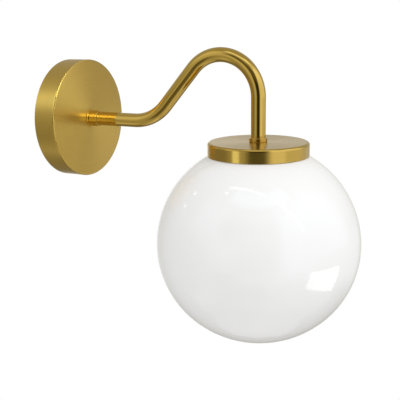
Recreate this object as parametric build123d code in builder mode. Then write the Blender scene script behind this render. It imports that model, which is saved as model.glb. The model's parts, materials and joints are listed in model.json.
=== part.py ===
from build123d import *
import os
from math import acos, atan2, cos, degrees, pi, radians, sin, sqrt, tan

# Globe wall sconce: a round wall plate, a bent arm that rises and hooks over, and a glass
# globe that screws up into a shallow cap at the arm's end.
#
# Millimetres. The wall is the plane y = 0, the lamp stands out towards -Y, and +Z is up.
# The origin is on the wall, behind the middle of the plate. Heights are measured from the
# arm's axis at the plate, and a piece that hangs below it has negative heights.

# ---------------------------------------------------------------- driving dimensions

# Wall plate: a spun brass pan, open at the wall
plate_diameter = 123.0
plate_depth = 24.0
plate_wall = 1.2
plate_crown = 2.5  # the middle of the face stands out this much past the rim
plate_edge_radius = 0.8

# Wall bracket: a steel strap with a lug at each end
bracket_thickness = 1.6
bracket_width = 24.0
lug_width = 14.0
lug_length = 17.0  # out from the wall
lug_slack = 0.4  # between the lug's corners and the pan
bend_radius = 1.5
wall_screw_spacing = 70.0
wall_slot_length = 14.0
wall_slot_width = 4.6
strap_end_margin = 6.0  # strap left beyond the slots, both ends together

# Screws
side_screw_diameter = 4.0
side_screw_length = 8.0
side_screw_offset = 12.0  # out from the wall
side_screw_socket = 2.0  # across the flats of its key
earth_screw_diameter = 4.0
earth_screw_head_diameter = 7.5
earth_screw_head_height = 2.4
earth_screw_head_rounding = 0.8
earth_screw_height = 16.0
screw_socket_depth = 2.0
driver_slot_width = 0.8
driver_slot_depth = 0.8

# Terminal block and its wiring
block_length = 26.0
block_height = 14.0
block_depth = 12.0
block_top = -10.0
block_pole_pitch = 8.0
block_screw_pitch = 7.0
block_wire_hole = 3.0
block_screw_diameter = 3.2
block_screw_length = 4.0
core_diameter = 1.7
core_offset = 1.25  # each core's centre from the flex's centre
core_bend = 2.5
core_lead = 4.0  # how far the cores run straight out of the flex behind the plate
core_drop = 3.0  # how far they fall before they reach their poles
earth_lead_diameter = 2.2
earth_lead_bend = 5.0
earth_lead_reach = 18.0  # how far the earth lead swings out beside the bracket
earth_lead_drop = 7.0  # how far it hangs below the block
tag_diameter = 8.5
tag_thickness = 0.8
tag_barrel_diameter = 3.2
tag_barrel_length = 5.0
flex_diameter = 5.0
flex_tail = 2.0  # sheath that shows past the arm nipple
holder_flex_tail = 2.5  # sheath that shows past the holder nipple

# Hollow threaded nipples, their nuts and lock washers
nipple_diameter = 10.0
nipple_bore = 8.0
nipple_chamfer = 0.5
nut_across_flats = 14.0
nut_thickness = 4.0
lock_washer_diameter = 17.0
lock_washer_thickness = 0.8
lock_washer_teeth = 12
nipple_overrun = 3.0  # thread that shows past the plate's nut

# Arm
tube_diameter = 14.3
tube_wall = 1.0
reach = 220.0  # wall to the globe's axis
rise = 67.5  # height of the top of the arm's centre line
incline = 49.0  # degrees above level
lower_bend_radius = 48.0
crook_radius = 39.5
collar_wall = 1.25
collar_length = 10.0
collar_edge = 0.3
tube_socket_depth = 5.0
washer_overhang = 1.6
washer_thickness = 1.0
washer_edge = 0.25
ring_wall = 1.6
ring_height = 4.0
ring_edge = 0.5
bush_length = 9.0
bush_engagement = 8.0

# Cap, gallery and globe
cap_drop = 14.0  # from the arm's axis at the plate down to the cap's top
cap_overhang = 6.75  # from the neck's side out to the cap's side
cap_height = 13.0
cap_wall = 1.0
cap_edge_radius = 2.5
gallery_wall = 1.3
globe_diameter = 200.0
globe_flattening = 3.0  # how much lower a full half sphere would reach
globe_side_offset = 5.0  # the lower side's arc is struck this far off the globe's axis
globe_wall = 3.0
globe_neck_diameter = 84.5
globe_neck_wall = 3.2
globe_lip_radius = 1.0
gasket_thickness = 1.2

# Lampholder
holder_diameter = 40.0
holder_wall = 2.0
boss_diameter = 15.0
boss_height = 6.0
dome_height = 6.0
holder_cap_height = 22.4
insulator_height = 10.0
insulator_rebate = 3.0  # how far the insulator reaches down inside the skirt
skirt_height = 26.0
skirt_lip = 1.5
skirt_mouth_diameter = 30.0
screw_shell_diameter = 28.0
screw_shell_wall = 0.4
screw_shell_opening = 12.0  # round the centre contact
contact_thickness = 0.4
contact_width = 4.0
contact_length = 8.0
contact_foot = 1.6  # riveted to the insulator
contact_slope = 1.6  # from the foot down to the pad
contact_drop = 1.6
terminal_length = 6.0
terminal_width = 7.0
terminal_height = 3.5
terminal_offset = 10.0

# Bulb
bulb_diameter = 60.0
bulb_length = 104.0
bulb_glass_wall = 0.9
bulb_neck_diameter = 26.0
bulb_flare_radius = 30.0
base_diameter = 26.1
base_thread_depth = 0.95
base_thread_pitch = 3.62
base_thread_turns = 4
base_collar = 2.5
base_wall = 0.9
base_insulator_height = 4.0
base_insulator_diameter = 11.0
eyelet_diameter = 10.0
eyelet_height = 1.2
stem_diameter = 8.0
stem_length = 23.0
filament_count = 4
filament_diameter = 1.8
filament_length = 34.0
filament_circle = 18.0
filament_drop = 1.6  # from the stem's tip down to the filaments
lead_wire_diameter = 0.8

# Clearances
thread_fit = 0.05  # radial, between a fixed thread and its nut, and round a brazed joint
hole_slack = 0.15  # radial, round what passes through a plain hole
turn_gap = 0.4  # radial, between the globe's thread and the gallery
seat_gap = 0.3  # between pieces on different bodies that come up to each other
shoulder_gap = 0.3  # between the globe's shoulder and the rims above it
holder_gap = 0.4  # between the holder nipple's nut and the lampholder


# ---------------------------------------------------------------- places and planes

def off_wall(distance):
    """A plane parallel to the wall, facing into the room."""
    return Plane(origin=(0, -distance, 0), x_dir=(1, 0, 0), z_dir=(0, -1, 0))


def on_globe_axis(height):
    """A level plane, centred on the globe's axis."""
    return Plane(origin=(0, -reach, height), x_dir=(1, 0, 0), z_dir=(0, 0, 1))


# Half sections: x is the distance from the wall and y the radius round the arm's axis,
# or x is the radius round the globe's axis and y the height
plate_section = Plane(origin=(0, 0, 0), x_dir=(0, -1, 0), z_dir=(-1, 0, 0))
globe_section = Plane(origin=(0, -reach, 0), x_dir=(1, 0, 0), z_dir=(0, -1, 0))
globe_line = Axis((0, -reach, 0), (0, 0, 1))

# Sizes that follow from the fits
collar_diameter = tube_diameter + 2 * collar_wall
washer_diameter = collar_diameter + 2 * washer_overhang
ring_diameter = tube_diameter + 2 * ring_wall
nipple_hole_radius = nipple_diameter / 2 + hole_slack
nut_bore_radius = nipple_diameter / 2 + thread_fit
cap_diameter = globe_neck_diameter + 2 * cap_overhang

# Distances out from the wall, at the plate
face_out = plate_depth + plate_crown
face_in = face_out - plate_wall
plate_washer_in = face_in - lock_washer_thickness
plate_nut_in = plate_washer_in - nut_thickness
nipple_in = plate_nut_in - nipple_overrun
collar_in = face_out + washer_thickness
collar_out = collar_in + collar_length
tube_start = collar_out - tube_socket_depth
flex_in = nipple_in - flex_tail
wire_row = bracket_thickness + block_depth / 2

# Heights, at the globe's end
cap_top = -cap_drop
cap_rim = cap_top - cap_height
gallery_top = cap_top - cap_wall
gallery_under = gallery_top - gallery_wall
cap_washer_under = gallery_under - lock_washer_thickness
cap_nut_under = cap_washer_under - nut_thickness
holder_top = cap_nut_under - holder_gap
boss_under = holder_top - boss_height
holder_cap_rim = holder_top - holder_cap_height
insulator_under = holder_cap_rim - insulator_rebate
insulator_top = insulator_under + insulator_height
skirt_rim = holder_cap_rim - skirt_height
flex_end = boss_under + thread_fit - holder_flex_tail
gasket_top = gallery_under - seat_gap
neck_top = gasket_top - gasket_thickness

# The globe hangs so that its shoulder just clears the inside edge of the cap's rim
globe_radius = globe_diameter / 2
cap_chord = sqrt(globe_radius**2 - (cap_diameter / 2 - cap_wall) ** 2)
globe_centre = cap_rim - shoulder_gap - cap_chord


def shoulder_height(radius):
    """Height of the globe's outside at a radius from its axis, above its middle."""
    return globe_centre + sqrt(globe_radius**2 - radius**2)


# The arm's centre line: level, up along the incline, over the crook and straight down
lean = radians(incline)
crook_centre = rise - crook_radius
incline_foot = reach - crook_radius - (crook_radius + crook_centre * cos(lean)) / sin(lean)
crook_corner = (reach - incline_foot) * tan(lean)
arm_bends = [lower_bend_radius, crook_radius]


def arm_route(start, end):
    """Points of the arm's centre line, from a distance off the wall to a height."""
    return [(0, -start, 0), (0, -incline_foot, 0), (0, -reach, crook_corner), (0, -reach, end)]


def report_sweep(label, section_area, route, part):
    """Print how far a swept piece's volume is from its section times its route."""
    drift = part.volume / (section_area * route.length) - 1
    print(f"{label}: route {route.length:.1f} mm, volume off by {drift:+.2%}")


os.makedirs("parts", exist_ok=True)

# ---------------------------------------------------------------- wall bracket and plate

pan_radius = plate_diameter / 2 - plate_wall
lug_outside = sqrt((pan_radius - lug_slack) ** 2 - (lug_width / 2) ** 2)

with BuildPart() as wall_bracket:
    # One strip, bent out at both ends, seen from the side
    with BuildSketch(plate_section) as strip:
        with BuildLine():
            FilletPolyline(
                (lug_length, lug_outside),
                (0, lug_outside),
                (0, -lug_outside),
                (lug_length, -lug_outside),
                (lug_length, bracket_thickness - lug_outside),
                (bracket_thickness, bracket_thickness - lug_outside),
                (bracket_thickness, lug_outside - bracket_thickness),
                (lug_length, lug_outside - bracket_thickness),
                radius=[bend_radius + bracket_thickness] * 2 + [0, 0] + [bend_radius] * 2,
            )
            Line((lug_length, lug_outside - bracket_thickness), (lug_length, lug_outside))
        make_face()
    extrude(amount=lug_width / 2, both=True)
    # The wider middle, with the slots for the wall screws and the earth screw's hole
    with BuildSketch(off_wall(0)):
        RectangleRounded(
            bracket_width, wall_screw_spacing + wall_slot_length + strap_end_margin, bend_radius
        )
    extrude(amount=bracket_thickness)
    with BuildSketch(off_wall(0)):
        with Locations((0, wall_screw_spacing / 2), (0, -wall_screw_spacing / 2)):
            SlotOverall(wall_slot_length, wall_slot_width, rotation=90)
        with Locations((0, earth_screw_height)):
            Circle(earth_screw_diameter / 2 + thread_fit)
    extrude(amount=bracket_thickness, mode=Mode.SUBTRACT)
    # Tapped holes for the side screws
    with BuildSketch(Plane.XY):
        with Locations((0, -side_screw_offset)):
            Circle(side_screw_diameter / 2 + thread_fit)
    extrude(amount=plate_diameter, both=True, mode=Mode.SUBTRACT)
wall_bracket.part.label = "wall_bracket"
export_step(wall_bracket.part, "parts/wall_bracket.step")

with BuildPart() as wall_plate:
    with BuildSketch(plate_section) as pan:
        flat_radius = washer_diameter / 2 + washer_edge
        with BuildLine():
            rim_corner = (plate_depth, plate_diameter / 2)
            inner_corner = (plate_depth - plate_wall, pan_radius)
            Polyline((0, pan_radius), (0, plate_diameter / 2), rim_corner)
            TangentArc((face_out, flat_radius), rim_corner, tangent=(0, 1))
            Polyline(
                (face_out, flat_radius),
                (face_out, nipple_hole_radius),
                (face_in, nipple_hole_radius),
                (face_in, flat_radius),
            )
            TangentArc((face_in, flat_radius), inner_corner, tangent=(0, 1))
            Line(inner_corner, (0, pan_radius))
        make_face()
        fillet(pan.vertices().group_by(Axis.Y)[-1].sort_by(Axis.X)[-1], plate_edge_radius)
    revolve(axis=Axis.Y)
    # Holes for the side screws, at 12 and 6 o'clock
    with BuildSketch(Plane.XY):
        with Locations((0, -side_screw_offset)):
            Circle(side_screw_diameter / 2 + hole_slack)
    extrude(amount=plate_diameter, both=True, mode=Mode.SUBTRACT)
wall_plate.part.label = "wall_plate"
export_step(wall_plate.part, "parts/wall_plate.step")

# Grub screws, turned out of the lugs until they lock in the plate's holes, flush outside
with BuildPart() as side_screws:
    screw_top = plate_diameter / 2 - hole_slack
    with BuildSketch(Plane.XY.offset(screw_top)):
        with Locations((0, -side_screw_offset)):
            Circle(side_screw_diameter / 2)
    extrude(amount=-side_screw_length)
    with BuildSketch(Plane.XY.offset(screw_top)):
        with Locations((0, -side_screw_offset)):
            RegularPolygon(side_screw_socket / 2, 6, major_radius=False)
    extrude(amount=-screw_socket_depth, mode=Mode.SUBTRACT)
    mirror(about=Plane.XY)
side_screws.part.label = "side_screws"
export_step(side_screws.part, "parts/side_screws.step")

# ---------------------------------------------------------------- earth screw and wiring

tag_front = bracket_thickness + tag_thickness

with BuildPart() as earth_screw:
    with BuildSketch(off_wall(tag_front)):
        with Locations((0, earth_screw_height)):
            Circle(earth_screw_head_diameter / 2)
    extrude(amount=earth_screw_head_height)
    fillet(earth_screw.faces().sort_by(Axis.Y)[0].edges(), earth_screw_head_rounding)
    with BuildSketch(off_wall(thread_fit)):
        with Locations((0, earth_screw_height)):
            Circle(earth_screw_diameter / 2)
    extrude(amount=tag_front - thread_fit)
    with BuildSketch(off_wall(tag_front + earth_screw_head_height)):
        with Locations((0, earth_screw_height)):
            Rectangle(earth_screw_head_diameter, driver_slot_width)
            Rectangle(driver_slot_width, earth_screw_head_diameter)
    extrude(amount=-driver_slot_depth, mode=Mode.SUBTRACT)
earth_screw.part.label = "earth_screw"
export_step(earth_screw.part, "parts/earth_screw.step")

barrel_start = earth_screw_head_diameter / 2 + hole_slack
barrel_axis_out = bracket_thickness + tag_barrel_diameter / 2

with BuildPart() as earth_tag:
    # A ring under the screw's head, a tongue and a crimped barrel
    with BuildSketch(off_wall(bracket_thickness)):
        with Locations((0, earth_screw_height)):
            Circle(tag_diameter / 2)
        with Locations((barrel_start / 2 + tag_barrel_length / 4, earth_screw_height)):
            Rectangle(barrel_start + tag_barrel_length / 2, tag_barrel_diameter)
        with Locations((0, earth_screw_height)):
            Circle(earth_screw_diameter / 2 + hole_slack, mode=Mode.SUBTRACT)
    extrude(amount=tag_thickness)
    with BuildSketch(Plane.YZ.offset(barrel_start)):
        with Locations((-barrel_axis_out, earth_screw_height)):
            Circle(tag_barrel_diameter / 2)
    extrude(amount=tag_barrel_length)
    with BuildSketch(Plane.YZ.offset(barrel_start)):
        with Locations((-barrel_axis_out, earth_screw_height)):
            Circle(earth_lead_diameter / 2 + thread_fit)
    extrude(amount=tag_barrel_length, mode=Mode.SUBTRACT)
earth_tag.part.label = "earth_tag"
export_step(earth_tag.part, "parts/earth_tag.step")

block_bottom = block_top - block_height
block_front = bracket_thickness + block_depth
block_poles = [-block_pole_pitch, 0, block_pole_pitch]
block_middle = (block_top + block_bottom) / 2

with BuildPart() as terminal_block:
    with BuildSketch(off_wall(bracket_thickness)):
        with Locations((0, block_middle)):
            RectangleRounded(block_length, block_height, bend_radius)
    extrude(amount=block_depth)
    with BuildSketch(Plane.XY.offset(block_top)):
        with Locations(*[(pole, -wire_row) for pole in block_poles]):
            Circle(block_wire_hole / 2)
    extrude(amount=-block_height, mode=Mode.SUBTRACT)
    with BuildSketch(off_wall(block_front)):
        with Locations((0, block_middle)):
            with GridLocations(block_pole_pitch, block_screw_pitch, len(block_poles), 2):
                Circle(block_screw_diameter / 2 + hole_slack)
    extrude(amount=wire_row - block_front, mode=Mode.SUBTRACT)
terminal_block.part.label = "terminal_block"
export_step(terminal_block.part, "parts/terminal_block.step")

with BuildPart() as terminal_screws:
    with BuildSketch(off_wall(block_front - hole_slack)):
        with Locations((0, block_middle)):
            with GridLocations(block_pole_pitch, block_screw_pitch, len(block_poles), 2):
                Circle(block_screw_diameter / 2)
                Rectangle(block_screw_diameter * 2, driver_slot_width, mode=Mode.SUBTRACT)
    extrude(amount=-driver_slot_depth)
    with BuildSketch(off_wall(block_front - hole_slack - driver_slot_depth)):
        with Locations((0, block_middle)):
            with GridLocations(block_pole_pitch, block_screw_pitch, len(block_poles), 2):
                Circle(block_screw_diameter / 2)
    extrude(amount=driver_slot_depth - block_screw_length)
terminal_screws.part.label = "terminal_screws"
export_step(terminal_screws.part, "parts/terminal_screws.step")

core_area = pi * core_diameter**2 / 4

with BuildPart() as plate_cores:
    # Each core leaves the flex's cut end and turns down into its own pole
    for side in (-1, 1):
        with BuildLine():
            core_route = FilletPolyline(
                (side * core_offset, -flex_in, 0),
                (side * core_offset, core_lead - flex_in, 0),
                (side * block_pole_pitch, -wire_row, -core_drop),
                (side * block_pole_pitch, -wire_row, block_top - block_screw_pitch / 2),
                radius=core_bend,
            )
        with BuildSketch(Plane(origin=core_route @ 0, z_dir=core_route % 0)):
            Circle(core_diameter / 2)
        sweep(path=core_route)
report_sweep("plate_cores", 2 * core_area, core_route, plate_cores.part)
plate_cores.part.label = "plate_cores"
export_step(plate_cores.part, "parts/plate_cores.step")

with BuildPart() as earth_lead:
    with BuildLine():
        earth_route = FilletPolyline(
            (0, -wire_row, block_bottom + block_screw_pitch / 2),
            (0, -wire_row, block_bottom - earth_lead_drop),
            (earth_lead_reach, -wire_row, block_bottom - earth_lead_drop),
            (earth_lead_reach, -barrel_axis_out, earth_screw_height),
            (barrel_start + tag_barrel_length / 2, -barrel_axis_out, earth_screw_height),
            radius=earth_lead_bend,
        )
    with BuildSketch(Plane(origin=earth_route @ 0, z_dir=earth_route % 0)):
        Circle(earth_lead_diameter / 2)
    sweep(path=earth_route)
report_sweep("earth_lead", pi * earth_lead_diameter**2 / 4, earth_route, earth_lead.part)
earth_lead.part.label = "earth_lead"
export_step(earth_lead.part, "parts/earth_lead.step")


# ---------------------------------------------------------------- nipples, nuts, washers

def threaded_nipple(plane, length):
    """A hollow threaded rod, drawn at its thread's outside diameter."""
    with BuildPart() as nipple:
        with BuildSketch(plane):
            Circle(nipple_diameter / 2)
        extrude(amount=length)
        chamfer(nipple.edges(), nipple_chamfer)
        with BuildSketch(plane):
            Circle(nipple_bore / 2)
        extrude(amount=length, mode=Mode.SUBTRACT)
    return nipple


def toothed_washer(plane):
    """A lock washer with notches round its edge."""
    with BuildPart() as washer:
        with BuildSketch(plane):
            Circle(lock_washer_diameter / 2)
            Circle(nipple_hole_radius, mode=Mode.SUBTRACT)
            with PolarLocations(lock_washer_diameter / 2, lock_washer_teeth):
                Circle(lock_washer_diameter / lock_washer_teeth / 2, mode=Mode.SUBTRACT)
        extrude(amount=lock_washer_thickness)
    return washer


def hexagon_nut(plane):
    """A thin six-sided nut for a nipple."""
    with BuildPart() as nut:
        with BuildSketch(plane):
            RegularPolygon(nut_across_flats / 2, 6, major_radius=False)
        extrude(amount=nut_thickness)
        with BuildSketch(plane):
            Circle(nut_bore_radius)
        extrude(amount=nut_thickness, mode=Mode.SUBTRACT)
    return nut


def facing(plane):
    """The same plane, facing the other way."""
    return Plane(origin=plane.origin, x_dir=plane.x_dir, z_dir=-plane.z_dir)


arm_nipple = threaded_nipple(off_wall(nipple_in), tube_start - thread_fit - nipple_in)
arm_nipple.part.label = "arm_nipple"
export_step(arm_nipple.part, "parts/arm_nipple.step")

plate_lock_washer = toothed_washer(off_wall(plate_washer_in))
plate_lock_washer.part.label = "plate_lock_washer"
export_step(plate_lock_washer.part, "parts/plate_lock_washer.step")

plate_nut = hexagon_nut(facing(off_wall(plate_washer_in)))
plate_nut.part.label = "plate_nut"
export_step(plate_nut.part, "parts/plate_nut.step")

holder_nipple = threaded_nipple(
    on_globe_axis(boss_under + thread_fit), cap_top + bush_engagement - boss_under - thread_fit
)
holder_nipple.part.label = "holder_nipple"
export_step(holder_nipple.part, "parts/holder_nipple.step")

cap_lock_washer = toothed_washer(on_globe_axis(cap_washer_under))
cap_lock_washer.part.label = "cap_lock_washer"
export_step(cap_lock_washer.part, "parts/cap_lock_washer.step")

cap_nut = hexagon_nut(facing(on_globe_axis(cap_washer_under)))
cap_nut.part.label = "cap_nut"
export_step(cap_nut.part, "parts/cap_nut.step")

# ---------------------------------------------------------------- arm

with BuildPart() as collar_washer:
    with BuildSketch(off_wall(face_out)):
        Circle(washer_diameter / 2)
    extrude(amount=washer_thickness)
    fillet(collar_washer.edges().sort_by(Axis.Y)[0], washer_edge)
    with BuildSketch(off_wall(face_out)):
        Circle(nipple_hole_radius)
    extrude(amount=washer_thickness, mode=Mode.SUBTRACT)
collar_washer.part.label = "collar_washer"
export_step(collar_washer.part, "parts/collar_washer.step")

with BuildPart() as arm_collar:
    # Threaded for the nipple at the plate, and bored to take the tube's end
    with BuildSketch(off_wall(collar_in)):
        Circle(collar_diameter / 2)
    extrude(amount=collar_length)
    fillet(arm_collar.edges().sort_by(Axis.Y)[0], collar_edge)
    with BuildSketch(off_wall(collar_in)):
        Circle(nut_bore_radius)
    extrude(amount=collar_length, mode=Mode.SUBTRACT)
    with BuildSketch(off_wall(tube_start)):
        Circle(tube_diameter / 2 + thread_fit)
    extrude(amount=tube_socket_depth, mode=Mode.SUBTRACT)
arm_collar.part.label = "arm_collar"
export_step(arm_collar.part, "parts/arm_collar.step")

tube_bore = tube_diameter / 2 - tube_wall

with BuildPart() as arm_tube:
    with BuildLine():
        tube_route = FilletPolyline(*arm_route(tube_start, cap_top), radius=arm_bends)
    with BuildSketch(off_wall(tube_start)) as tube_end:
        Circle(tube_diameter / 2)
        Circle(tube_bore, mode=Mode.SUBTRACT)
    sweep(path=tube_route)
report_sweep("arm_tube", tube_end.sketch.area, tube_route, arm_tube.part)
arm_tube.part.label = "arm_tube"
export_step(arm_tube.part, "parts/arm_tube.step")

with BuildPart() as flex:
    # Two cores in one round sheath, along the arm's centre line
    with BuildLine():
        flex_route = FilletPolyline(*arm_route(flex_in, flex_end), radius=arm_bends)
    with BuildSketch(off_wall(flex_in)) as flex_round:
        Circle(flex_diameter / 2)
    sweep(path=flex_route)
report_sweep("flex", flex_round.sketch.area, flex_route, flex.part)
flex.part.label = "flex"
export_step(flex.part, "parts/flex.step")

with BuildPart() as tube_bush:
    with BuildSketch(on_globe_axis(cap_top)):
        Circle(tube_bore - thread_fit)
        Circle(nut_bore_radius, mode=Mode.SUBTRACT)
    extrude(amount=bush_length)
tube_bush.part.label = "tube_bush"
export_step(tube_bush.part, "parts/tube_bush.step")

with BuildPart() as cap_ring:
    with BuildSketch(on_globe_axis(cap_top)):
        Circle(ring_diameter / 2)
    extrude(amount=ring_height)
    fillet(cap_ring.edges(), ring_edge)
    with BuildSketch(on_globe_axis(cap_top)):
        Circle(tube_diameter / 2 + thread_fit)
    extrude(amount=ring_height, mode=Mode.SUBTRACT)
cap_ring.part.label = "cap_ring"
export_step(cap_ring.part, "parts/cap_ring.step")

# ---------------------------------------------------------------- cap, gallery and globe

with BuildPart() as globe_cap:
    with BuildSketch(globe_section) as cap_profile:
        cap_radius = cap_diameter / 2
        with BuildLine():
            FilletPolyline(
                (nipple_hole_radius, cap_top),
                (cap_radius, cap_top),
                (cap_radius, cap_rim),
                (cap_radius - cap_wall, cap_rim),
                (cap_radius - cap_wall, gallery_top),
                (nipple_hole_radius, gallery_top),
                radius=[cap_edge_radius, 0, 0, max(cap_edge_radius - cap_wall, 0)],
            )
            Line((nipple_hole_radius, gallery_top), (nipple_hole_radius, cap_top))
        make_face()
    revolve(axis=globe_line)
globe_cap.part.label = "globe_cap"
export_step(globe_cap.part, "parts/globe_cap.step")

gallery_bore = globe_neck_diameter / 2 + turn_gap
gallery_radius = gallery_bore + gallery_wall
gallery_rim = shoulder_height(gallery_bore) + shoulder_gap

with BuildPart() as gallery:
    # An inner cup whose wall is rolled with the thread for the globe's neck
    with BuildSketch(globe_section):
        with BuildLine():
            Polyline(
                (nipple_hole_radius, gallery_top),
                (gallery_radius, gallery_top),
                (gallery_radius, gallery_rim),
                (gallery_bore, gallery_rim),
                (gallery_bore, gallery_under),
                (nipple_hole_radius, gallery_under),
                close=True,
            )
        make_face()
    revolve(axis=globe_line)
gallery.part.label = "gallery"
export_step(gallery.part, "parts/gallery.step")

neck_radius = globe_neck_diameter / 2
neck_bore = neck_radius - globe_neck_wall

with BuildPart() as globe_gasket:
    with BuildSketch(on_globe_axis(neck_top)):
        Circle(neck_radius - thread_fit)
        Circle(neck_bore + thread_fit, mode=Mode.SUBTRACT)
    extrude(amount=gasket_thickness)
globe_gasket.part.label = "globe_gasket"
export_step(globe_gasket.part, "parts/globe_gasket.step")

# The lower half is two arcs: one down the side, and a wider one under the bottom
lower_height = globe_radius - globe_flattening
side_radius = globe_radius - globe_side_offset
bottom_radius = (globe_side_offset**2 + lower_height**2 - side_radius**2) / (
    2 * (lower_height - side_radius)
)
bottom_rise = bottom_radius - lower_height
arc_meeting = degrees(atan2(bottom_rise, globe_side_offset))


def globe_arcs(inset, neck):
    """Draw the globe's half outline, a given depth inside its glass, up to a neck."""
    ball = globe_radius - inset
    bottom = (0, globe_centre + bottom_rise)
    CenterArc(bottom, bottom_radius - inset, -90, arc_size=90 - arc_meeting)
    side = (globe_side_offset, globe_centre)
    CenterArc(side, side_radius - inset, -arc_meeting, arc_size=arc_meeting)
    CenterArc((0, globe_centre), ball, 0, arc_size=degrees(acos(neck / ball)))


with BuildPart() as globe:
    with BuildSketch(globe_section) as globe_profile:
        inner_foot = globe_centre + sqrt((globe_radius - globe_wall) ** 2 - neck_bore**2)
        bottom_outside = globe_centre - lower_height
        with BuildLine():
            globe_arcs(0, neck_radius)
            globe_arcs(globe_wall, neck_bore)
            Line((0, bottom_outside), (0, bottom_outside + globe_wall))
            Polyline(
                (neck_bore, inner_foot),
                (neck_bore, neck_top),
                (neck_radius, neck_top),
                (neck_radius, shoulder_height(neck_radius)),
            )
        make_face()
        fillet(globe_profile.vertices().group_by(Axis.Y)[-1], globe_lip_radius)
    revolve(axis=globe_line)
globe.part.label = "globe"
export_step(globe.part, "parts/globe.step")

# ---------------------------------------------------------------- lampholder

holder_radius = holder_diameter / 2
holder_bore = holder_radius - holder_wall
boss_radius = boss_diameter / 2
dome_foot = boss_under - dome_height

with BuildPart() as holder_cap:
    with BuildSketch(globe_section):
        with BuildLine():
            Polyline(
                (nut_bore_radius, holder_top),
                (boss_radius, holder_top),
                (boss_radius, boss_under),
                (holder_radius, dome_foot),
                (holder_radius, holder_cap_rim),
                (holder_bore, holder_cap_rim),
                (holder_bore, dome_foot - holder_wall / 2),
                (boss_radius, boss_under - holder_wall),
                (nut_bore_radius, boss_under - holder_wall),
                close=True,
            )
        make_face()
    revolve(axis=globe_line)
holder_cap.part.label = "holder_cap"
export_step(holder_cap.part, "parts/holder_cap.step")

with BuildPart() as holder_insulator:
    with BuildSketch(on_globe_axis(insulator_under)):
        Circle(holder_bore - hole_slack)
    extrude(amount=insulator_height)
    chamfer(holder_insulator.edges().sort_by(Axis.Z)[-1], holder_wall / 2)
holder_insulator.part.label = "holder_insulator"
export_step(holder_insulator.part, "parts/holder_insulator.step")

with BuildPart() as holder_terminals:
    # Two brass clamps, each with a wire hole that faces the flex
    with BuildSketch(on_globe_axis(insulator_top)):
        with Locations((terminal_offset, 0), (-terminal_offset, 0)):
            Rectangle(terminal_length, terminal_width)
    extrude(amount=terminal_height)
    with BuildSketch(Plane.YZ):
        with Locations((-reach, insulator_top + terminal_height / 2)):
            Circle(core_diameter / 2 + hole_slack)
    extrude(amount=terminal_offset, both=True, mode=Mode.SUBTRACT)
holder_terminals.part.label = "holder_terminals"
export_step(holder_terminals.part, "parts/holder_terminals.step")

with BuildPart() as holder_cores:
    for side in (-1, 1):
        core_entry = insulator_top + terminal_height / 2
        with BuildLine():
            holder_route = FilletPolyline(
                (side * core_offset, -reach, flex_end),
                (side * core_offset, -reach, core_entry),
                (side * (terminal_offset - core_diameter), -reach, core_entry),
                radius=core_bend,
            )
        with BuildSketch(Plane(origin=holder_route @ 0, z_dir=holder_route % 0)):
            Circle(core_diameter / 2)
        sweep(path=holder_route)
report_sweep("holder_cores", 2 * core_area, holder_route, holder_cores.part)
holder_cores.part.label = "holder_cores"
export_step(holder_cores.part, "parts/holder_cores.step")

with BuildPart() as holder_skirt:
    with BuildSketch(globe_section):
        with BuildLine():
            Polyline(
                (holder_radius, holder_cap_rim),
                (holder_radius, skirt_rim),
                (skirt_mouth_diameter / 2, skirt_rim),
                (skirt_mouth_diameter / 2, skirt_rim + skirt_lip),
                (holder_bore, skirt_rim + skirt_lip),
                (holder_bore, holder_cap_rim),
                close=True,
            )
        make_face()
    revolve(axis=globe_line)
holder_skirt.part.label = "holder_skirt"
export_step(holder_skirt.part, "parts/holder_skirt.step")

shell_radius = screw_shell_diameter / 2
shell_bore = shell_radius - screw_shell_wall
shell_rim = skirt_rim + skirt_lip + hole_slack

with BuildPart() as screw_shell:
    with BuildSketch(globe_section):
        with BuildLine():
            Polyline(
                (screw_shell_opening / 2, insulator_under),
                (shell_radius, insulator_under),
                (shell_radius, shell_rim),
                (shell_bore, shell_rim),
                (shell_bore, insulator_under - screw_shell_wall),
                (screw_shell_opening / 2, insulator_under - screw_shell_wall),
                close=True,
            )
        make_face()
    revolve(axis=globe_line)
screw_shell.part.label = "screw_shell"
export_step(screw_shell.part, "parts/screw_shell.step")

contact_under = insulator_under - contact_drop

with BuildPart() as centre_contact:
    # A spring tongue, riveted at one end and bent down to meet the bulb
    with BuildSketch(globe_section):
        foot_start = -contact_length / 2
        foot_end = foot_start + contact_foot
        pad_start = foot_end + contact_slope
        pad_end = contact_length / 2
        with BuildLine():
            Polyline(
                (foot_start, insulator_under),
                (foot_end, insulator_under),
                (pad_start, contact_under + contact_thickness),
                (pad_end, contact_under + contact_thickness),
                (pad_end, contact_under),
                (pad_start - contact_thickness, contact_under),
                (foot_end - contact_thickness, insulator_under - contact_thickness),
                (foot_start, insulator_under - contact_thickness),
                close=True,
            )
        make_face()
    extrude(amount=contact_width / 2, both=True)
centre_contact.part.label = "centre_contact"
export_step(centre_contact.part, "parts/centre_contact.step")

# ---------------------------------------------------------------- bulb

eyelet_top = contact_under - seat_gap
eyelet_under = eyelet_top - eyelet_height
base_top = eyelet_under - base_insulator_height
base_radius = base_diameter / 2
thread_end = base_top - base_thread_pitch * base_thread_turns
base_rim = thread_end - base_collar

with BuildPart() as bulb_contact:
    with BuildSketch(on_globe_axis(eyelet_under)):
        Circle(eyelet_diameter / 2)
    extrude(amount=eyelet_height)
    fillet(bulb_contact.edges().sort_by(Axis.Z)[-1], eyelet_height / 2)
bulb_contact.part.label = "bulb_contact"
export_step(bulb_contact.part, "parts/bulb_contact.step")

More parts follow.
